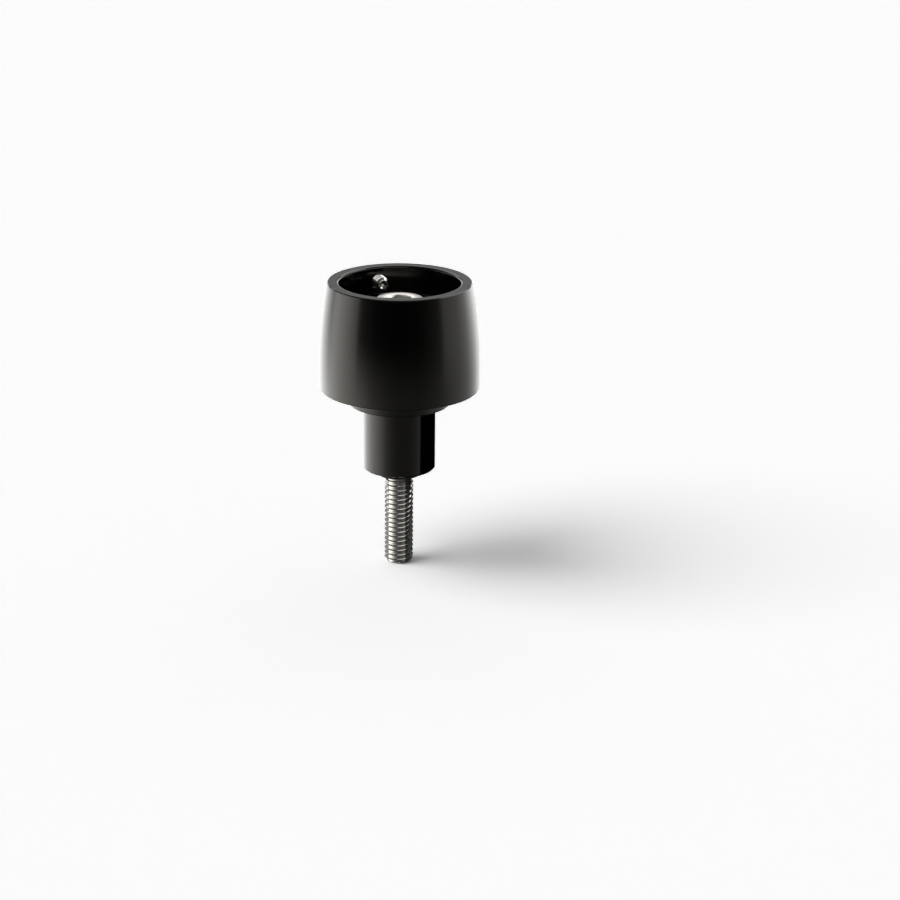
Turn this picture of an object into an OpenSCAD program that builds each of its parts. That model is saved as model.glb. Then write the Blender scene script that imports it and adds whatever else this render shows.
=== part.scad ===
// Bar end weight for a handlebar end: a turned black cup on a turned adapter sleeve, with a socket head
// screw through both, a rubber ring under the sleeve and a grub screw in the cup's wall.
// Millimetres. The origin is on the turning axis, at the face of the collar that meets the end of the
// handlebar. +Z points to the open mouth of the cup, and the grub screw lies on the +Y side.

/* [Weight] */
// Largest diameter of the barrel-shaped weight
belly_d = 32.4; // [26.8:0.1:40]
// How much the outside radius falls from there to the mouth
mouth_taper = 1.8; // [0.5:0.1:3]
// Height of the weight
weight_h = 21.9; // [17:0.1:35]
// Height of the largest diameter above the weight's lower face
belly_h = 2.9; // [1.5:0.1:8]
// Radius of the lower edge
base_r = 0.7; // [0.2:0.1:1.4]
// Chamfer on the outer edge of the rim
rim_out = 0.2; // [0.1:0.05:0.6]
// Chamfer on the inner edge of the rim
rim_in = 0.35; // [0.1:0.05:0.6]
// Width of the flat rim with its chamfers, from the recess to the outside
rim_w = 2.35; // [1.6:0.05:3]
// Depth of the recess
bore_depth = 6.0; // [5.2:0.1:10]
// Radius of the corner at the recess floor
floor_r = 0.6; // [0.2:0.1:1.5]

/* [Adapter sleeve] */
// Diameter of the spigot that goes into the handlebar
spigot_d = 14.7; // [13:0.1:20]
// Length of the spigot below the collar
spigot_l = 13.9; // [8:0.1:25]
// Chamfer at the end of the spigot
spigot_edge = 0.35; // [0.1:0.05:1]
// Diameter of the collar
collar_d = 20.6; // [18:0.1:28]
// Height of the collar
collar_h = 3.3; // [1.5:0.1:8]
// Radius of the collar's lower edge
collar_edge = 0.4; // [0.1:0.05:1]
// Diameter of the boss that goes up through the weight
boss_d = 14.0; // [12.5:0.1:17]
// Chamfer at the upper end of the boss
boss_edge = 0.3; // [0.1:0.05:0.6]
// Depth of the screw head's seat below the boss's upper end
head_seat_depth = 3.45; // [1:0.05:6]

/* [Screw] */
// Nominal diameter of the thread
screw_d = 6; // [5:0.1:6.1]
// Length under the head
screw_l = 50; // [40:1:80]
// Diameter of the head
head_d = 10; // [9:0.1:11]
// Height of the head
head_h = 6; // [4:0.1:8]
// Radius of the head's upper edge
head_edge = 0.5; // [0.1:0.05:0.8]
// Width across the flats of the socket
socket_af = 5; // [3:0.5:6]
// Depth of the socket's flats
socket_depth = 3; // [1.5:0.1:4]
// Chamfer at the tip
tip_edge = 0.65; // [0.2:0.05:1]
// Length of the thread
thread_l = 24; // [18:1:30]
// Pitch of the thread
thread_pitch = 1; // [0.5:0.05:1.25]

/* [Rubber ring] */
// Thickness of the ring's round section
ring_section = 1.8; // [1.2:0.1:2.2]
// How far the ring sinks into the countersink
ring_sink = 0.35; // [0.1:0.05:0.8]

/* [Grub screw] */
// Nominal diameter of the thread
grub_d = 3; // [2:0.5:4]
// Length of the grub screw
grub_l = 5; // [4:0.5:6]
// Distance of its axis below the rim
grub_below_rim = 3.1; // [2.6:0.1:3.6]
// Depth of its outer end below the surface of the weight
grub_sink = 0.45; // [0.1:0.05:1]
// Width across the flats of its socket
grub_af = 1.5; // [0.7:0.1:2]
// Depth of its socket
grub_socket_depth = 1.6; // [0.8:0.1:2.2]
// Diameter of the ring edge at its cup point
grub_point_d = 2.0; // [1:0.1:2]
// Pitch of its thread
grub_pitch = 0.5; // [0.35:0.05:0.6]

/* [Hidden] */
$fn = 96;

// Clearances on the radius
press_gap = 0.02;   // boss in the weight
head_gap = 0.3;     // screw head in its seat
shank_gap = 0.2;    // screw in the adapter's hole
ring_gap = 0.02;    // rubber ring on the screw and in the countersink
thread_gap = 0.03;  // grub screw in its tapped hole
grub_edge = 0.2;    // chamfer at the outer end of the grub screw

drill_cone = 118;   // angle of a drill's point
thread_depth = 0.61;     // depth of a thread, as a share of its pitch
thread_root = 0.125;     // width of the thread's root, as a share of its pitch
hex_turn = 18;      // how the screw's socket is turned
past = 1;           // how far a cutting shape runs past a face

belly_r = belly_d / 2;
mouth_r = belly_r - mouth_taper;
bore_r = mouth_r - rim_w;
boss_r = boss_d / 2;
rim_z = collar_h + weight_h;
floor_z = rim_z - bore_depth;
belly_z = collar_h + belly_h;

// The barrel is one arc that is upright at the belly and ends at the mouth.
arc_rise = weight_h - belly_h;
arc_r = (arc_rise * arc_rise + mouth_taper * mouth_taper) / (2 * mouth_taper);
arc_x = belly_r - arc_r;
function barrel_r(z) = arc_x + sqrt(arc_r * arc_r - (z - belly_z) * (z - belly_z));

head_seat_z = floor_z - head_seat_depth;
tip_z = head_seat_z - screw_l;
head_hole_r = head_d / 2 + head_gap;

ring_mid_r = screw_d / 2 + ring_gap + ring_section / 2;
ring_drop = ring_section / 2 - ring_sink;
ring_z = -spigot_l - ring_drop;
// A 45 degree countersink that clears the ring's section by ring_gap
ring_seat_r = ring_mid_r - ring_drop + (ring_section / 2 + ring_gap) * sqrt(2);

grub_z = rim_z - grub_below_rim;
grub_out_r = barrel_r(grub_z) - grub_sink;
grub_in_r = grub_out_r - grub_l;

// Radius of a hexagon's corners from its width across the flats
function hex_r(af) = af / 2 / cos(30);

// A corner of a turned profile that is cut at 45 degrees: x and y are the corner, and side_x and side_y
// point away from the material.
module chamfer_cut(x, y, size, side_x, side_y) {
    reach = size + past;
    translate([x, y])
        polygon([
            [-side_x * size, 0],
            [-side_x * size, side_y * reach],
            [side_x * reach, side_y * reach],
            [side_x * reach, 0],
            [0, -side_y * size],
        ]);
}

// A square corner of a turned profile that is rounded, placed as chamfer_cut is
module round_cut(x, y, size, side_x, side_y) {
    reach = size + past;
    translate([x - side_x * size, y - side_y * size])
        difference() {
            polygon([
                [0, 0],
                [0, side_y * reach],
                [side_x * reach, side_y * reach],
                [side_x * reach, 0],
            ]);
            circle(r = size);
        }
}

// Thread grooves in a turned profile of radius r, as rings at the thread's pitch, from z_low up to z_high
module thread_grooves(r, pitch, z_low, z_high) {
    depth = thread_depth * pitch;
    root = thread_root * pitch / 2;
    // 60 degree flanks that run a little past the outside
    reach = depth + past / 10;
    open = root + reach * tan(30);
    for (k = [0 : floor((z_high - z_low) / pitch) - 1])
        translate([r - depth, z_low + (k + 0.5) * pitch])
            polygon([[0, -root], [reach, -open], [reach, open], [0, root]]);
}

// The lower edge of the weight, where a round touches the flat base and the barrel's arc
module base_round_cut() {
    centre_z = collar_h + base_r;
    below_belly = belly_z - centre_z;
    centre_x = arc_x + sqrt(pow(arc_r - base_r, 2) - below_belly * below_belly);
    // Direction from the round's centre to the point where it meets the barrel
    out = [centre_x - arc_x, -below_belly] / (arc_r - base_r);
    reach = base_r + past;
    translate([centre_x, centre_z])
        difference() {
            polygon([
                [0, 0],
                [0, -reach],
                [reach, -reach],
                [reach, reach * out[1] / out[0]],
            ]);
            circle(r = base_r);
        }
}

module weight_profile() {
    difference() {
        intersection() {
            translate([arc_x, belly_z])
                circle(r = arc_r, $fn = 720);
            translate([0, collar_h])
                square([belly_r + past, weight_h]);
        }
        base_round_cut();
        chamfer_cut(mouth_r, rim_z, rim_out, 1, 1);
        // Open recess with a rounded corner at its floor
        difference() {
            translate([0, floor_z])
                square([bore_r, bore_depth + past]);
            round_cut(bore_r, floor_z, floor_r, 1, -1);
        }
        chamfer_cut(bore_r, rim_z, rim_in, -1, 1);
        // Hole for the adapter's boss
        translate([0, collar_h - past])
            square([boss_r + press_gap, weight_h]);
    }
}

module weight_cup() {
    color("#17181a")
        difference() {
            rotate_extrude()
                weight_profile();
            // Tapped hole for the grub screw
            translate([0, 0, grub_z])
                rotate([-90, 0, 0])
                    cylinder(h = belly_r + past, r = grub_d / 2 + thread_gap);
        }
}

module adapter_profile() {
    difference() {
        union() {
            translate([0, -spigot_l])
                square([spigot_d / 2, spigot_l + collar_h]);
            square([collar_d / 2, collar_h]);
            square([boss_r, floor_z]);
        }
        chamfer_cut(spigot_d / 2, -spigot_l, spigot_edge, 1, -1);
        round_cut(collar_d / 2, 0, collar_edge, 1, -1);
        chamfer_cut(boss_r, floor_z, boss_edge, 1, 1);
        // Hole for the screw, seat for its head and countersink for the rubber ring
        translate([0, -spigot_l - past])
            square([screw_d / 2 + shank_gap, spigot_l + floor_z + 2 * past]);
        translate([0, head_seat_z])
            square([head_hole_r, head_seat_depth + past]);
        translate([0, -spigot_l])
            polygon([[0, -past], [ring_seat_r + past, -past], [0, ring_seat_r]]);
    }
}

module adapter_sleeve() {
    color("#1d1e20")
        rotate_extrude()
            adapter_profile();
}

module hex_socket(af, depth, lead_in) {
    corner_r = hex_r(af);
    translate([0, 0, -depth])
        linear_extrude(depth + past)
            circle(r = corner_r, $fn = 6);
    // Drill point under the flats
    cone_h = af / 2 / tan(drill_cone / 2);
    translate([0, 0, -depth - cone_h])
        cylinder(h = cone_h, r1 = 0, r2 = af / 2);
    // Lead-in round the flats
    translate([0, 0, -lead_in])
        cylinder(h = lead_in + past, r1 = corner_r - lead_in, r2 = corner_r + past);
}

module screw_profile() {
    difference() {
        union() {
            translate([0, tip_z])
                square([screw_d / 2, screw_l]);
            translate([0, head_seat_z])
                square([head_d / 2, head_h]);
        }
        chamfer_cut(screw_d / 2, tip_z, tip_edge, 1, -1);
        thread_grooves(screw_d / 2, thread_pitch, tip_z + tip_edge, tip_z + thread_l);
        round_cut(head_d / 2, head_seat_z + head_h, head_edge, 1, 1);
    }
}

module clamp_screw() {
    color("#b9b7b2")
        difference() {
            rotate_extrude()
                screw_profile();
            translate([0, 0, head_seat_z + head_h])
                rotate([0, 0, hex_turn])
                    hex_socket(socket_af, socket_depth, 0.3);
        }
}

module rubber_ring() {
    color("#101011")
        rotate_extrude()
            translate([ring_mid_r, ring_z])
                circle(d = ring_section);
}

module grub_screw() {
    edge = (grub_d - grub_point_d) / 2;
    cup_r = grub_point_d / 2 - 0.15;
    color("#9a9894")
        translate([0, grub_in_r, grub_z])
            rotate([-90, 0, 0])
                difference() {
                    rotate_extrude()
                        difference() {
                            square([grub_d / 2, grub_l]);
                            chamfer_cut(grub_d / 2, 0, edge, 1, -1);
                            chamfer_cut(grub_d / 2, grub_l, grub_edge, 1, 1);
                            thread_grooves(grub_d / 2, grub_pitch, edge, grub_l - grub_edge);
                            // Cup point
                            polygon([[0, -past], [cup_r + past, -past], [0, cup_r]]);
                        }
                    translate([0, 0, grub_l])
                        hex_socket(grub_af, grub_socket_depth, 0.1);
                }
}

weight_cup();
adapter_sleeve();
clamp_screw();
rubber_ring();
grub_screw();
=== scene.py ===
"""Bar end weight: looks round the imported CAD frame. Metres, in the frame of the CAD part."""

import math

import bmesh
import bpy
from mathutils import Matrix, Vector


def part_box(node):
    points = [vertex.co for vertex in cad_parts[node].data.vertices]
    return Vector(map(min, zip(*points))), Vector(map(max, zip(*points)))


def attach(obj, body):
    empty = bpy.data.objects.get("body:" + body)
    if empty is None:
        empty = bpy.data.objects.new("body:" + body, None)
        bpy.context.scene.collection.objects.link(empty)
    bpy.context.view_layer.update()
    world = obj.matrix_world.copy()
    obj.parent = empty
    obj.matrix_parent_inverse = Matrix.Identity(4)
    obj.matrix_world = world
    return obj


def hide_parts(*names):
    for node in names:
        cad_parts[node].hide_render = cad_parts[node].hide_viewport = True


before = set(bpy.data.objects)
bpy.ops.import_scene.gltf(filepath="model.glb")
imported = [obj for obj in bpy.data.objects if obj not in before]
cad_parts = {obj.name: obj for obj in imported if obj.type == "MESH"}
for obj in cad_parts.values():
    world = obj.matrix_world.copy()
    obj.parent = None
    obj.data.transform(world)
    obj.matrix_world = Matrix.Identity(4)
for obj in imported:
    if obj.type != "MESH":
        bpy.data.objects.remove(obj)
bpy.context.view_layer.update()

MM = 0.001

# Driving sizes read from the frame
CUP_LOW, CUP_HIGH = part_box("weight_cup")
SLEEVE_LOW, SLEEVE_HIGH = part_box("adapter_sleeve")
SCREW_LOW, SCREW_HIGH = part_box("clamp_screw")
RING_LOW, RING_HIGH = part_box("rubber_ring")
GRUB_LOW, GRUB_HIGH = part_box("grub_screw")

RIM_Z = CUP_HIGH.z
BASE_Z = CUP_LOW.z
BELLY_R = CUP_HIGH.x
FLOOR_Z = SLEEVE_HIGH.z
SPIGOT_END_Z = SLEEVE_LOW.z
COLLAR_R = SLEEVE_HIGH.x
TIP_Z = SCREW_LOW.z
HEAD_TOP_Z = SCREW_HIGH.z
HEAD_R = SCREW_HIGH.x

# Sizes that repeat the CAD source
BELLY_H = 2.9 * MM
RIM_W = 2.35 * MM
BOSS_R = 7.0 * MM
SPIGOT_R = 7.35 * MM
HEAD_H = 6.0 * MM
HEAD_SEAT_R = 5.3 * MM
SHANK_R = 3.0 * MM
SHANK_HOLE_R = 3.2 * MM
PRESS_GAP = 0.02 * MM

# The mouth's radius is this much less than the belly's, which is 0.12 mm less than in the CAD source
MOUTH_TAPER = 1.68 * MM

MOUTH_R = BELLY_R - MOUTH_TAPER
BORE_R = MOUTH_R - RIM_W
HEAD_SEAT_Z = HEAD_TOP_Z - HEAD_H
GRUB_Z = (GRUB_LOW.z + GRUB_HIGH.z) / 2
GRUB_R = (GRUB_HIGH.z - GRUB_LOW.z) / 2
GRUB_HOLE_R = GRUB_R + 0.03 * MM

# A thread's crest and flank as shares of half its pitch, and how much of the flank's line is eased
CREST_SHARE = 0.05
FLANK_SHARE = 0.80
FLANK_EASE = 0.5

# A hexagon socket: the slope of its lead-in, and the drilled hole's share of the flats and its slope
LEAD_SLOPE = 0.8
DRILL_SHARE = 0.97
DRILL_SLOPE = 0.6
DRILL_RINGS = 4

# The grub screw's cup point, as radii and depths in millimetres
CUP_POINT = ((0.85, 0.0), (0.5, 0.32), (0.2, 0.58), (0.0, 0.68))

# Faces round each turned piece, and across each rounded corner of its profile
LATHE_STEPS = 256
ROUND_STEPS = 6

# Angles in degrees above which a corner stays sharp
TURNED_SHARP = 32
THREAD_SHARP = 40
RUBBER_SHARP = 60

# Points that are nearer than this are one, in metres
ONE_POINT = 1e-8

# The photograph's camera, in millimetres from the screw's tip, with the grub screw turned 22 degrees
PHOTO_TURN = math.radians(22.0)
CAMERA_MM = Vector((10.37, -482.26, 189.72))
CAMERA_PITCH = math.radians(18.961)
CAMERA_ROLL = math.radians(0.616)
LENS_MM = 100.0
SENSOR_MM = 36.0
CLIP_NEAR = 0.01
CLIP_FAR = 20

# Finishes: colours, the tint of the black's gloss, and ranges of roughness
BLACK = (0.0010, 0.0010, 0.0010)
BLACK_TINT = (1.0, 0.965, 0.885)
BLACK_ROUGHNESS = (0.10, 0.15)
STAINLESS = (0.70, 0.68, 0.65)
GRUB_STEEL = (0.66, 0.64, 0.61)
STEEL_ROUGHNESS = (0.10, 0.18)
HEAD_ROUGHER = 0.2
RUBBER = (0.012, 0.012, 0.013)
RUBBER_ROUGHNESS = (0.42, 0.6)
GLOSS_IOR = 1.5
GLOSS_LEVEL = 0.5

# Grain along each axis, where a small number is a long streak, and the part of a noise that is used
TURNED_GRAIN = (60, 60, 9000)
SCREW_GRAIN = (1500, 1500, 200)
GRUB_GRAIN = (1500, 200, 1500)
NOISE_LOW = 0.3
NOISE_HIGH = 0.7

# Light round the object: (azimuth from the camera in degrees, level), where 1 is white
WALL_LIGHT = (
    (-180, 0.9), (-165, 1.8), (-152, 2.25), (-134, 2.2), (-127, 1.7), (-119, 1.35), (-112, 2.3),
    (-103, 2.65), (-90, 2.4), (-82, 2.1), (-75, 1.7), (-68, 1.25), (-64.5, 1.05), (-61.5, 0.4),
    (-57, 0.2), (-50, 0.1), (-30, 0.02), (0, 0.01), (28, 0.02), (44, 0.07), (57, 0.14), (64, 0.25),
    (70, 0.7), (80, 0.82), (97, 0.92), (106, 1.15), (116, 1.4), (127, 2.2), (145, 3.0), (155, 2.6),
    (168, 1.7), (180, 0.9),
)
LOW_LIGHT = (
    (-180, 1.0), (-160, 2.2), (-149, 2.9), (-132, 3.2), (-117, 3.1), (-105, 2.9), (-96, 2.6), (-78, 2.1),
    (-70, 1.85), (-63, 1.6), (-55, 1.3), (-48, 1.0), (-41, 0.66), (-35, 0.54), (-28, 0.42), (-22, 0.34),
    (-9, 0.22), (4, 0.19), (30, 0.18), (43, 0.22), (57, 0.3), (70, 0.4), (83, 0.55), (100, 0.7),
    (119, 0.85), (132, 1.15), (150, 1.6), (165, 1.3), (180, 1.0),
)
HIGH_LIGHT = (
    (-180, 0.44), (-155, 0.38), (-130, 0.2), (-90, 0.1), (0, 0.05), (90, 0.1), (130, 0.2),
    (155, 0.38), (180, 0.44),
)
LIGHT_PEAK = 4.0
TOP_LIGHT = 0.12
UNDER_LIGHT = 0.03

# Elevations in degrees between which one level of light gives way to the next one up
LOW_BLEND = (-42, -24)
WALL_BLEND = (-22, -5)
HIGH_BLEND = (8, 14)
TOP_BLEND = (45, 70)

# The backdrop's level and the floor's colour, which the camera sees at another level than the light does
BACKDROP = 0.965
FLOOR_REACH = 3.0
FLOOR_ALBEDO = 0.8
FLOOR_SEEN = 1.54

# Windows seen only in reflections: azimuth, elevation, width and height in degrees, and level
WINDOW_DISTANCE = 0.6
BACK_WINDOW = (180, 42, 80, 32, 1.8)
KEY_WINDOW = (40, 42, 92, 24, 1.3)
RIGHT_WINDOW = (126, 42, 60, 32, 2.2)

# Soft light that only the floor shows: angles in degrees
SUN_AZIMUTH = -80
SUN_ELEVATION = 50
SUN_SPREAD = 50
SUN_STRENGTH = 1.8

# Screens behind the thread, below the spigot's reflections, seen only in reflections: azimuths and level
SKIRT_R = 0.012
SKIRT_TOP = -0.0165
SKIRT_STEPS = 24
RIGHT_SKIRT = (62, 180, 0.02)
LEFT_SKIRT = (180, 252, 0.32)

# A dark card on the right, in metres along the photograph's axes, where height is above the floor
CARD_LEFT = 0.015
CARD_FRONT = -0.0094
CARD_SIZE = (0.003, 0.04, 0.0295)

# How far the screens and the card reach below the floor
STAGE_BELOW = 0.03


def photo_to_part(vector):
    """Turns a direction or place from the photograph's axes to the part's."""
    return Matrix.Rotation(-PHOTO_TURN, 3, "Z") @ vector


def direction(azimuth, elevation):
    """A unit vector in the part's axes, from degrees round the object and above the horizon."""
    turn = math.radians(azimuth)
    rise = math.radians(elevation)
    return photo_to_part(
        Vector((math.sin(turn) * math.cos(rise), -math.cos(turn) * math.cos(rise), math.sin(rise)))
    )


# Profiles and meshes


def rounded(points):
    """A profile of (radius, height) with its corners rounded: each point is (r, z, corner radius)."""
    out = []
    last = len(points) - 1
    for i, (r, z, fillet) in enumerate(points):
        here = Vector((r, z))
        if fillet <= 0 or i in (0, last):
            out.append(here)
            continue
        back = (Vector(points[i - 1][:2]) - here).normalized()
        ahead = (Vector(points[i + 1][:2]) - here).normalized()
        half = back.angle(ahead) / 2
        reach = fillet / math.tan(half)
        centre = here + (back + ahead).normalized() * (fillet / math.sin(half))
        start = here + back * reach - centre
        end = here + ahead * reach - centre
        sweep = start.angle(end)
        for k in range(ROUND_STEPS + 1):
            share = k / ROUND_STEPS
            from_start = math.sin((1 - share) * sweep) / math.sin(sweep)
            from_end = math.sin(share * sweep) / math.sin(sweep)
            out.append(centre + start * from_start + end * from_end)
    return out


def rounded_loop(middle, corners):
    """A closed profile with every corner rounded, from a plain point in the middle of a straight side."""
    return rounded([middle, *corners, middle])[:-1]


def circle(centre, radius, steps):
    """Points round a circle in the (radius, height) plane."""
    turns = [math.radians(360 * k / steps) for k in range(steps)]
    return [Vector((centre[0] + radius * math.cos(t), centre[1] + radius * math.sin(t))) for t in turns]


def mesh_object(name, bm):
    """Makes an object of the finished mesh and adds it to the scene."""
    mesh = bpy.data.meshes.new(name)
    bm.normal_update()
    bm.to_mesh(mesh)
    bm.free()
    made = bpy.data.objects.new(name, mesh)
    bpy.context.scene.collection.objects.link(made)
    return made


def turned_ring(bm, r, z, steps):
    """A ring of vertices round Z. On the axis it is one vertex, given once for each step."""
    if r < ONE_POINT:
        return [bm.verts.new((0, 0, z))] * steps
    turns = [2 * math.pi * k / steps for k in range(steps)]
    return [bm.verts.new((r * math.cos(turn), r * math.sin(turn), z)) for turn in turns]


def bridge(bm, rings):
    """Joins each ring of vertices to the next with faces."""
    for low, high in zip(rings, rings[1:]):
        steps = len(low)
        for k in range(steps):
            ahead = (k + 1) % steps
            corners = dict.fromkeys([low[k], low[ahead], high[ahead], high[k]])
            bm.faces.new(list(corners))


def lathe(name, profile, steps=LATHE_STEPS):
    """Turns a closed (radius, height) loop round Z."""
    bm = bmesh.new()
    rings = [turned_ring(bm, r, z, steps) for r, z in profile]
    bridge(bm, [*rings, rings[0]])
    bmesh.ops.recalc_face_normals(bm, faces=bm.faces)
    return mesh_object(name, bm)


def seal(bm):
    """Merges the points that are one and turns all faces outward."""
    bmesh.ops.remove_doubles(bm, verts=bm.verts, dist=ONE_POINT)
    bmesh.ops.recalc_face_normals(bm, faces=bm.faces)


def apply_modifiers(obj):
    """Replaces the object's mesh by what its modifiers make of it."""
    bpy.context.view_layer.update()
    graph = bpy.context.evaluated_depsgraph_get()
    mesh = bpy.data.meshes.new_from_object(obj.evaluated_get(graph), depsgraph=graph)
    obj.modifiers.clear()
    obj.data = mesh


def cut(obj, cutter):
    """Takes the cutter's solid away from the object's."""
    boolean = obj.modifiers.new("cut", "BOOLEAN")
    boolean.operation = "DIFFERENCE"
    boolean.solver = "EXACT"
    boolean.object = cutter
    apply_modifiers(obj)
    bpy.data.objects.remove(cutter)


def shade(obj, sharp_angle):
    """Smooth faces with crisp corners, where large faces keep their own direction."""
    for polygon in obj.data.polygons:
        polygon.use_smooth = True
    obj.data.set_sharp_from_angle(angle=math.radians(sharp_angle))
    weighted = obj.modifiers.new("weighted", "WEIGHTED_NORMAL")
    weighted.keep_sharp = True
    apply_modifiers(obj)


def dress(obj, material, node):
    """Gives a finished piece its material and puts it in the place of a CAD node."""
    obj.data.materials.clear()
    obj.data.materials.append(material)
    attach(obj, "root")
    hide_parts(node)


# Nodes


def feed(tree, socket, value):
    """Sets an input to a value, or links it where the value is another node's output."""
    if isinstance(value, bpy.types.NodeSocket):
        tree.links.new(value, socket)
    else:
        socket.default_value = value


def add_node(tree, kind, **inputs):
    """A node with its inputs fed by name, where _ stands for a space."""
    node = tree.nodes.new(kind)
    for name, value in inputs.items():
        feed(tree, node.inputs[name.replace("_", " ")], value)
    return node


def add_math(tree, operation, *values):
    """The output of a math node. Each value is a number or another node's output."""
    node = tree.nodes.new("ShaderNodeMath")
    node.operation = operation
    for socket, value in zip(node.inputs, values):
        feed(tree, socket, value)
    return node.outputs[0]


def camera_switch(tree, kind, otherwise, to_camera):
    """One value for the rays that the camera sees, and another for all the rest."""
    path = tree.nodes.new("ShaderNodeLightPath")
    switch = tree.nodes.new("ShaderNodeMix")
    switch.data_type = kind
    feed(tree, switch.inputs["Factor"], path.outputs["Is Camera Ray"])
    feed(tree, switch.inputs["A"], otherwise)
    feed(tree, switch.inputs["B"], to_camera)
    return switch.outputs["Result"]


# Materials


def new_material(name, colour, metallic, roughness, tint=(1, 1, 1)):
    """A principled material. Returns it with its node tree and its shader."""
    material = bpy.data.materials.new(name)
    material.use_nodes = True
    tree = material.node_tree
    shader = tree.nodes["Principled BSDF"]
    shader.inputs["Base Color"].default_value = (*colour, 1)
    shader.inputs["Metallic"].default_value = metallic
    shader.inputs["Roughness"].default_value = roughness
    shader.inputs["IOR"].default_value = GLOSS_IOR
    shader.inputs["Specular IOR Level"].default_value = GLOSS_LEVEL
    shader.inputs["Specular Tint"].default_value = (*tint, 1)
    return material, tree, shader


def object_place(tree, grain=(1, 1, 1)):
    """Object coordinates, scaled apart along each axis."""
    place = tree.nodes.new("ShaderNodeTexCoord")
    mapping = add_node(tree, "ShaderNodeMapping", Vector=place.outputs["Object"], Scale=grain)
    return mapping.outputs["Vector"]


def add_noise(tree, scale, detail, roughness, grain=(1, 1, 1)):
    """The output of a noise that is fixed to the object."""
    noise = add_node(
        tree,
        "ShaderNodeTexNoise",
        Vector=object_place(tree, grain),
        Scale=scale,
        Detail=detail,
        Roughness=roughness,
    )
    return noise.outputs[0]


def spread(tree, noise, low, high):
    """Maps a noise to a range."""
    ramp = add_node(
        tree,
        "ShaderNodeMapRange",
        Value=noise,
        From_Min=NOISE_LOW,
        From_Max=NOISE_HIGH,
        To_Min=low,
        To_Max=high,
    )
    return ramp.outputs["Result"]


def add_bump(tree, shader, heights, strength, distance):
    """Chains bump nodes into the shader's normal, one for each height source."""
    normal = None
    for height in heights:
        bump = add_node(tree, "ShaderNodeBump", Strength=strength, Distance=distance, Height=height)
        if normal is not None:
            feed(tree, bump.inputs["Normal"], normal)
        normal = bump.outputs["Normal"]
    feed(tree, shader.inputs["Normal"], normal)


def turned_black(name):
    """Black anodised aluminium: faint rings from the lathe under a fine, even bloom."""
    material, tree, shader = new_material(name, BLACK, 0.0, sum(BLACK_ROUGHNESS) / 2, BLACK_TINT)
    rings = add_noise(tree, scale=1.0, detail=3.0, roughness=0.6, grain=TURNED_GRAIN)
    bloom = add_noise(tree, scale=9000.0, detail=2.0, roughness=0.5)
    cloud = add_noise(tree, scale=160.0, detail=4.0, roughness=0.55)
    feed(tree, shader.inputs["Roughness"], spread(tree, cloud, *BLACK_ROUGHNESS))
    add_bump(tree, shader, [rings, bloom], strength=0.03, distance=0.004 * MM)
    return material


def steel(name, colour, grain, rough_above=None):
    """Bright steel with streaks and a little uneven polish. It is rougher above a height, if one is given."""
    material, tree, shader = new_material(name, colour, 1.0, sum(STEEL_ROUGHNESS) / 2)
    streaks = add_noise(tree, scale=1.0, detail=3.0, roughness=0.6, grain=grain)
    cloud = add_noise(tree, scale=700.0, detail=4.0, roughness=0.6)
    polish = spread(tree, cloud, *STEEL_ROUGHNESS)
    if rough_above is not None:
        split = add_node(tree, "ShaderNodeSeparateXYZ", Vector=object_place(tree))
        above = add_math(tree, "GREATER_THAN", split.outputs["Z"], rough_above)
        polish = add_math(tree, "MULTIPLY_ADD", above, HEAD_ROUGHER, polish)
    feed(tree, shader.inputs["Roughness"], polish)
    add_bump(tree, shader, [streaks, cloud], strength=0.12, distance=0.01 * MM)
    return material


def moulded_rubber(name):
    """Moulded black rubber with a fine matt grain."""
    material, tree, shader = new_material(name, RUBBER, 0.0, 0.5)
    grain = add_noise(tree, scale=6000.0, detail=3.0, roughness=0.6)
    feed(tree, shader.inputs["Roughness"], spread(tree, grain, *RUBBER_ROUGHNESS))
    add_bump(tree, shader, [grain], strength=0.2, distance=0.01 * MM)
    return material


# Turned pieces


def barrel(steps):
    """The outside of the weight from its base to its rim: one arc, upright at the belly."""
    rise = RIM_Z - BASE_Z - BELLY_H
    radius = (rise * rise + MOUTH_TAPER * MOUTH_TAPER) / (2 * MOUTH_TAPER)
    belly_z = BASE_Z + BELLY_H
    points = []
    for k in range(steps + 1):
        z = BASE_Z + (RIM_Z - BASE_Z) * k / steps
        points.append((BELLY_R - radius + math.sqrt(radius * radius - (z - belly_z) ** 2), z, 0))
    return points


def make_cup(material):
    """The weight: a barrel with a recess in its mouth, a hole for the boss and a cross hole."""
    side_steps = 40
    # The side's lowest points give way to the round of its lower edge
    side_first = 3
    hole_round = 0.1 * MM
    base_round = 0.2 * MM
    rim_edge = 0.16 * MM
    rim_round = 0.04 * MM
    inner_round = 0.5 * MM
    floor_round = 0.6 * MM
    hole_r = BOSS_R + PRESS_GAP
    side = barrel(side_steps)
    bottom_r = side[0][0]
    corners = [
        (hole_r, BASE_Z, hole_round),
        (bottom_r, BASE_Z, base_round),
        *side[side_first:-1],
        (MOUTH_R, RIM_Z - rim_edge, rim_round),
        (MOUTH_R - rim_edge, RIM_Z, rim_round),
        (BORE_R, RIM_Z, inner_round),
        (BORE_R, FLOOR_Z, floor_round),
        (hole_r, FLOOR_Z, hole_round),
    ]
    cup = lathe("weight_cup_turned", rounded_loop((hole_r, (BASE_Z + FLOOR_Z) / 2, 0), corners))
    drill_start = BORE_R - 1 * MM
    bpy.ops.mesh.primitive_cylinder_add(vertices=64, radius=GRUB_HOLE_R, depth=2 * BELLY_R)
    drill = bpy.context.object
    drill.rotation_euler = (math.radians(-90), 0, 0)
    drill.location = (0, drill_start + BELLY_R, GRUB_Z)
    cut(cup, drill)
    shade(cup, TURNED_SHARP)
    dress(cup, material, "weight_cup")


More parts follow.
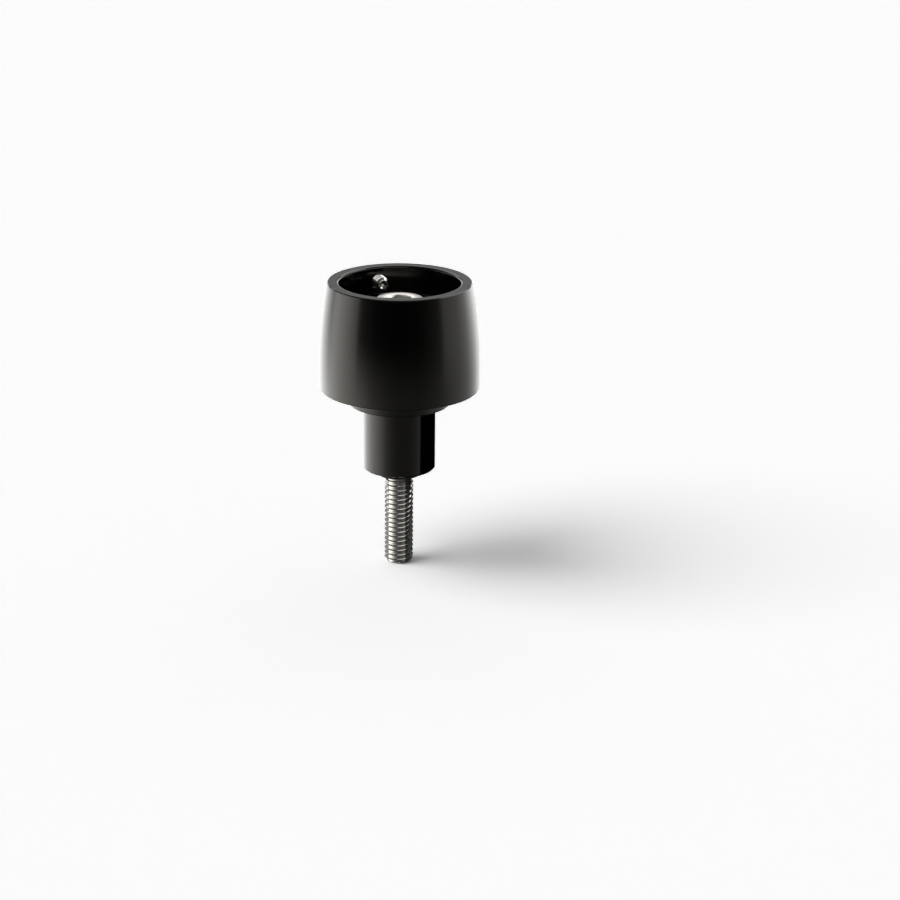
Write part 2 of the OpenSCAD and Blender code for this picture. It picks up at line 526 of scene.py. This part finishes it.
def make_sleeve(material):
    """The adapter: spigot, collar and boss, with a seat for the screw's head and a countersink."""
    crisp = 0.06 * MM
    spigot_edge = 0.35 * MM
    boss_edge = 0.3 * MM
    step_round = 0.1 * MM
    collar_round = 0.2 * MM
    countersink_r = 4.67 * MM
    countersink_h = countersink_r - SHANK_HOLE_R
    corners = [
        (SHANK_HOLE_R, SPIGOT_END_Z + countersink_h, crisp),
        (countersink_r, SPIGOT_END_Z, crisp),
        (SPIGOT_R - spigot_edge, SPIGOT_END_Z, crisp),
        (SPIGOT_R, SPIGOT_END_Z + spigot_edge, crisp),
        (SPIGOT_R, 0, step_round),
        (COLLAR_R, 0, collar_round),
        (COLLAR_R, BASE_Z, crisp),
        (BOSS_R, BASE_Z, 0),
        (BOSS_R, FLOOR_Z - boss_edge, crisp),
        (BOSS_R - boss_edge, FLOOR_Z, crisp),
        (HEAD_SEAT_R, FLOOR_Z, crisp),
        (HEAD_SEAT_R, HEAD_SEAT_Z, crisp),
        (SHANK_HOLE_R, HEAD_SEAT_Z, crisp),
    ]
    sleeve = lathe("adapter_sleeve_turned", rounded_loop((SHANK_HOLE_R, 0, 0), corners))
    shade(sleeve, TURNED_SHARP)
    dress(sleeve, material, "adapter_sleeve")


def make_ring(material):
    """The rubber ring: a round section turned about the screw."""
    section_r = (RING_HIGH.z - RING_LOW.z) / 2
    centre = (RING_HIGH.x - section_r, (RING_LOW.z + RING_HIGH.z) / 2)
    ring = lathe("rubber_ring_moulded", circle(centre, section_r, steps=40), steps=128)
    shade(ring, RUBBER_SHARP)
    dress(ring, material, "rubber_ring")


# Screws


def thread_radius(turn, crest, root):
    """Radius of a 60 degree thread at a share of its pitch, counted from a crest."""
    away = abs((turn + 0.5) % 1.0 - 0.5) * 2
    share = min(max((away - CREST_SHARE) / FLANK_SHARE, 0.0), 1.0)
    eased = share * share * (3 - 2 * share) * FLANK_EASE + share * (1 - FLANK_EASE)
    return crest - (crest - root) * eased


def threaded_rod(bm, z_start, z_end, thread, limit, steps, rows):
    """Adds a threaded surface from z_start up to z_end, with this many rows to a pitch.

    The thread is its pitch, crest, root, and the height of a crest on the X axis. The limit gives the
    largest radius at a height.
    """
    pitch, crest, root, phase = thread
    count = round((z_end - z_start) / pitch * rows) + 2 * rows
    columns = []
    for k in range(steps):
        angle = 2 * math.pi * k / steps
        column = []
        for j in range(count + 1):
            z = z_start + (j / rows - 1 + k / steps) * pitch
            z = min(max(z, z_start), z_end)
            turn = (z - phase) / pitch - k / steps
            r = min(thread_radius(turn, crest, root), limit(z))
            column.append(bm.verts.new((r * math.cos(angle), r * math.sin(angle), z)))
        columns.append(column)
    for k in range(steps):
        here = columns[k]
        following = columns[(k + 1) % steps]
        shift = rows if k == steps - 1 else 0
        for j in range(count - shift):
            bm.faces.new([here[j], following[j + shift], following[j + 1 + shift], here[j + 1]])
    bmesh.ops.remove_doubles(bm, verts=bm.verts, dist=ONE_POINT)
    bmesh.ops.dissolve_degenerate(bm, edges=bm.edges, dist=ONE_POINT)


def loop_at(bm, z, steps):
    """The vertices at a height, in order round Z from the X axis."""
    loop = [v for v in bm.verts if abs(v.co.z - z) < ONE_POINT]
    if len(loop) != steps:
        raise RuntimeError(f"a thread's end has {len(loop)} points, not {steps}")
    return sorted(loop, key=lambda v: math.atan2(v.co.y, v.co.x) % (2 * math.pi))


def hexagon_radius(angle, across_flats):
    """Distance from the axis to a hexagon's side, with corners at multiples of 60 degrees."""
    within = (angle % (math.pi / 3)) - math.pi / 6
    return across_flats / 2 / math.cos(within)


def socket_rings(bm, steps, turn, outer_r, top_z, across_flats, depth, lead):
    """The rings of a hexagon socket, from a circle on the top face to the drill point's centre."""
    mouth_r = across_flats / 2 / math.cos(math.pi / 6) + lead
    drill_r = across_flats / 2 * DRILL_SHARE
    bottom_z = top_z - depth
    angles = [2 * math.pi * k / steps for k in range(steps)]
    sides = [(angle, hexagon_radius(angle - turn, across_flats)) for angle in angles]

    def hexagon_ring(height_at):
        return [bm.verts.new((r * math.cos(a), r * math.sin(a), height_at(r))) for a, r in sides]

    rings = [
        turned_ring(bm, outer_r, top_z, steps),
        turned_ring(bm, mouth_r, top_z, steps),
        hexagon_ring(lambda r: top_z - (mouth_r - r) * LEAD_SLOPE),
        hexagon_ring(lambda r: bottom_z),
        turned_ring(bm, drill_r, bottom_z, steps),
    ]
    for k in range(1, DRILL_RINGS + 1):
        r = drill_r * (1 - k / DRILL_RINGS)
        rings.append(turned_ring(bm, r, bottom_z - (drill_r - r) * DRILL_SLOPE, steps))
    return rings


def make_screw(material):
    """The socket head screw. A crest passes its left side in the photograph at the measured height."""
    steps = 144
    rows = 14
    pitch = 1.0 * MM
    crest = 2.94 * MM
    root = 2.387 * MM
    tip_r = SHANK_R - 0.65 * MM
    thread_end = TIP_Z + 24 * MM
    crest_left = TIP_Z + 16.81 * MM
    left_turn = (math.pi - PHOTO_TURN) / (2 * math.pi)
    thread = (pitch, crest, root, crest_left - left_turn * pitch)
    run_out = 0.6 * MM
    seat_round = 0.12 * MM
    head_round = 0.6 * MM
    head_flat_r = HEAD_R - 1.2 * MM

    bm = bmesh.new()
    threaded_rod(bm, TIP_Z, thread_end, thread, lambda z: tip_r + (z - TIP_Z), steps, rows)
    bm.faces.new(loop_at(bm, TIP_Z, steps))
    profile = rounded([
        (SHANK_R, thread_end + run_out, 0),
        (SHANK_R, HEAD_SEAT_Z, seat_round),
        (HEAD_R, HEAD_SEAT_Z, seat_round),
        (HEAD_R, HEAD_TOP_Z, head_round),
        (head_flat_r, HEAD_TOP_Z, 0),
    ])
    shank = [loop_at(bm, thread_end, steps)]
    shank += [turned_ring(bm, r, z, steps) for r, z in profile]
    socket = socket_rings(
        bm,
        steps,
        turn=math.radians(18),
        outer_r=head_flat_r,
        top_z=HEAD_TOP_Z,
        across_flats=5.0 * MM,
        depth=3.0 * MM,
        lead=0.12 * MM,
    )
    bridge(bm, shank)
    bridge(bm, socket)
    seal(bm)
    screw = mesh_object("clamp_screw_threaded", bm)
    shade(screw, THREAD_SHARP)
    dress(screw, material, "clamp_screw")


def make_grub(material):
    """The grub screw, made up from its cup point along Z, then laid along Y in its hole."""
    steps = 72
    rows = 12
    pitch = 0.5 * MM
    length = GRUB_HIGH.y - GRUB_LOW.y
    crest = GRUB_R - 0.02 * MM
    root = GRUB_R - 0.31 * MM
    point_r = 1.0 * MM
    end_r = crest - 0.15 * MM

    def limit(z):
        return min(point_r + z, end_r + (length - z))

    bm = bmesh.new()
    threaded_rod(bm, 0, length, (pitch, crest, root, 0), limit, steps, rows)
    start = loop_at(bm, 0, steps)
    end = loop_at(bm, length, steps)
    hollow = [turned_ring(bm, r * MM, z * MM, steps) for r, z in CUP_POINT]
    socket = socket_rings(
        bm,
        steps,
        turn=0,
        outer_r=end_r - 0.1 * MM,
        top_z=length,
        across_flats=1.5 * MM,
        depth=1.6 * MM,
        lead=0.05 * MM,
    )
    bridge(bm, [start, *hollow])
    bridge(bm, [end, *socket])
    seal(bm)
    place = Matrix.Translation((0, GRUB_LOW.y, GRUB_Z)) @ Matrix.Rotation(math.radians(-90), 4, "X")
    bmesh.ops.transform(bm, matrix=place, verts=bm.verts)
    grub = mesh_object("grub_screw_threaded", bm)
    shade(grub, THREAD_SHARP)
    dress(grub, material, "grub_screw")


# Stage


def bare_material(name):
    """A material with an output and no shader yet. Returns it with its node tree."""
    material = bpy.data.materials.new(name)
    material.use_nodes = True
    tree = material.node_tree
    tree.nodes.remove(tree.nodes["Principled BSDF"])
    return material, tree


def make_floor():
    """A plain floor. The camera sees it at the backdrop's level, and it keeps the object's shadow."""
    bm = bmesh.new()
    corners = [(-1, -1), (1, -1), (1, 1), (-1, 1)]
    bm.faces.new([bm.verts.new((x * FLOOR_REACH, y * FLOOR_REACH, TIP_Z)) for x, y in corners])
    floor = mesh_object("floor", bm)
    material, tree = bare_material("floor_white")
    albedo = (FLOOR_ALBEDO, FLOOR_ALBEDO, FLOOR_ALBEDO, 1)
    seen = (FLOOR_SEEN, FLOOR_SEEN, FLOOR_SEEN, 1)
    diffuse = add_node(tree, "ShaderNodeBsdfDiffuse", Color=camera_switch(tree, "RGBA", albedo, seen))
    feed(tree, tree.nodes["Material Output"].inputs["Surface"], diffuse.outputs["BSDF"])
    floor.data.materials.append(material)
    floor.visible_glossy = False


def glow_material(name, level):
    """A plain light of one level. At 0 it is a black card."""
    material, tree = bare_material(name)
    glow = add_node(tree, "ShaderNodeEmission", Strength=level)
    feed(tree, tree.nodes["Material Output"].inputs["Surface"], glow.outputs["Emission"])
    return material


def only_reflected(obj):
    """Keeps a stage piece out of the picture and out of the floor's light."""
    obj.visible_camera = False
    obj.visible_diffuse = False
    obj.visible_shadow = False


def make_card():
    """A thin dark card beside the object, seen only in its reflections."""
    width, depth, height = CARD_SIZE
    low = TIP_Z - STAGE_BELOW
    high = TIP_Z + height
    centre = photo_to_part(Vector((CARD_LEFT + width / 2, CARD_FRONT + depth / 2, 0)))
    bpy.ops.mesh.primitive_cube_add(size=1)
    card = bpy.context.object
    card.name = "dark_card"
    card.scale = (width, depth, high - low)
    card.rotation_euler = (0, 0, -PHOTO_TURN)
    card.location = centre + Vector((0, 0, (low + high) / 2))
    card.data.materials.append(glow_material("card_black", 0.0))
    only_reflected(card)


def make_window(name, window):
    """A bright panel that faces the object."""
    azimuth, elevation, wide, tall, level = window
    towards = direction(azimuth, elevation)
    bpy.ops.mesh.primitive_plane_add(size=1)
    panel = bpy.context.object
    panel.name = name
    panel.scale = (
        2 * WINDOW_DISTANCE * math.tan(math.radians(wide / 2)),
        2 * WINDOW_DISTANCE * math.tan(math.radians(tall / 2)),
        1,
    )
    panel.rotation_euler = towards.to_track_quat("Z", "Y").to_euler()
    panel.location = towards * WINDOW_DISTANCE
    panel.data.materials.append(glow_material(name + "_light", level))
    only_reflected(panel)


def make_skirt(name, skirt):
    """A curved screen behind the thread."""
    start, end, level = skirt
    bm = bmesh.new()
    edges = []
    for k in range(SKIRT_STEPS + 1):
        flat = direction(start + (end - start) * k / SKIRT_STEPS, 0) * SKIRT_R
        low = bm.verts.new((flat.x, flat.y, TIP_Z - STAGE_BELOW))
        high = bm.verts.new((flat.x, flat.y, SKIRT_TOP))
        edges.append((low, high))
    for here, following in zip(edges, edges[1:]):
        bm.faces.new([here[0], following[0], following[1], here[1]])
    screen = mesh_object(name, bm)
    screen.data.materials.append(glow_material(name + "_light", level))
    only_reflected(screen)


def make_sun():
    """Wide soft light from the left, which draws the object's shadow on the floor."""
    sun = bpy.data.lights.new("soft_sun", "SUN")
    sun.energy = SUN_STRENGTH
    sun.angle = math.radians(SUN_SPREAD)
    lamp = bpy.data.objects.new("soft_sun", sun)
    bpy.context.scene.collection.objects.link(lamp)
    lamp.rotation_euler = direction(SUN_AZIMUTH, SUN_ELEVATION).to_track_quat("Z", "Y").to_euler()
    lamp.visible_glossy = False


def make_camera():
    """The photograph's camera, as it was fitted to the object's edges."""
    camera = bpy.data.cameras.new("photo_camera")
    camera.lens = LENS_MM
    camera.sensor_width = SENSOR_MM
    camera.clip_start = CLIP_NEAR
    camera.clip_end = CLIP_FAR
    rig = bpy.data.objects.new("photo_camera", camera)
    bpy.context.scene.collection.objects.link(rig)
    ahead = Vector((0, math.cos(CAMERA_PITCH), -math.sin(CAMERA_PITCH)))
    right = Vector((1, 0, 0))
    down = ahead.cross(right)
    turned_right = math.cos(CAMERA_ROLL) * right - math.sin(CAMERA_ROLL) * down
    turned_down = math.sin(CAMERA_ROLL) * right + math.cos(CAMERA_ROLL) * down
    axes = [photo_to_part(v) for v in (turned_right, -turned_down, -ahead)]
    place = photo_to_part(CAMERA_MM * MM) + Vector((0, 0, TIP_Z))
    rows = [[axes[0][i], axes[1][i], axes[2][i], place[i]] for i in range(3)]
    rig.matrix_world = Matrix([*rows, [0, 0, 0, 1]])
    bpy.context.scene.camera = rig


def light_profile(tree, share, stops):
    """The light level at a share of the turn, from a table of azimuths."""
    ramp = add_node(tree, "ShaderNodeValToRGB", Fac=share)
    elements = ramp.color_ramp.elements
    elements.remove(elements[-1])
    for i, (degrees, level) in enumerate(stops):
        position = degrees / 360 + 0.5
        element = elements[0] if i == 0 else elements.new(position)
        element.position = position
        grey = level / LIGHT_PEAK
        element.color = (grey, grey, grey, 1)
    return add_math(tree, "MULTIPLY", ramp.outputs["Color"], LIGHT_PEAK)


def rise_to(tree, elevation, blend, under, over):
    """A smooth step from one level of light to another between two elevations."""
    ramp = add_node(
        tree,
        "ShaderNodeMapRange",
        Value=elevation,
        From_Min=math.radians(blend[0]),
        From_Max=math.radians(blend[1]),
        To_Min=under,
        To_Max=over,
    )
    ramp.interpolation_type = "SMOOTHSTEP"
    return ramp.outputs["Result"]


def make_world():
    """A studio that depends on direction only: bright walls at the sides, dark towards the camera."""
    world = bpy.data.worlds.new("studio")
    world.use_nodes = True
    bpy.context.scene.world = world
    tree = world.node_tree
    place = tree.nodes.new("ShaderNodeTexCoord")
    turned = add_node(
        tree, "ShaderNodeMapping", Vector=place.outputs["Generated"], Rotation=(0, 0, PHOTO_TURN)
    )
    split = add_node(tree, "ShaderNodeSeparateXYZ", Vector=turned.outputs["Vector"])
    towards = add_math(tree, "MULTIPLY", split.outputs["Y"], -1)
    azimuth = add_math(tree, "ARCTAN2", split.outputs["X"], towards)
    share = add_math(tree, "ADD", add_math(tree, "DIVIDE", azimuth, 2 * math.pi), 0.5)
    elevation = add_math(tree, "ARCSINE", split.outputs["Z"])

    low, wall, high = [light_profile(tree, share, stops) for stops in (LOW_LIGHT, WALL_LIGHT, HIGH_LIGHT)]
    light = rise_to(tree, elevation, LOW_BLEND, UNDER_LIGHT, low)
    light = rise_to(tree, elevation, WALL_BLEND, light, wall)
    light = rise_to(tree, elevation, HIGH_BLEND, light, high)
    light = rise_to(tree, elevation, TOP_BLEND, light, TOP_LIGHT)

    background = tree.nodes["Background"]
    background.inputs["Color"].default_value = (1, 1, 1, 1)
    feed(tree, background.inputs["Strength"], camera_switch(tree, "FLOAT", light, BACKDROP))


bpy.context.scene.view_settings.view_transform = "Standard"

make_camera()
make_world()
make_floor()
make_card()
make_skirt("right_skirt", RIGHT_SKIRT)
make_skirt("left_skirt", LEFT_SKIRT)
make_window("back_window", BACK_WINDOW)
make_window("key_window", KEY_WINDOW)
make_window("right_window", RIGHT_WINDOW)
make_sun()

make_cup(turned_black("anodised_weight"))
make_sleeve(turned_black("anodised_adapter"))
make_screw(steel("stainless", STAINLESS, SCREW_GRAIN, HEAD_SEAT_Z))
make_grub(steel("grub_steel", GRUB_STEEL, GRUB_GRAIN))
make_ring(moulded_rubber("black_rubber"))
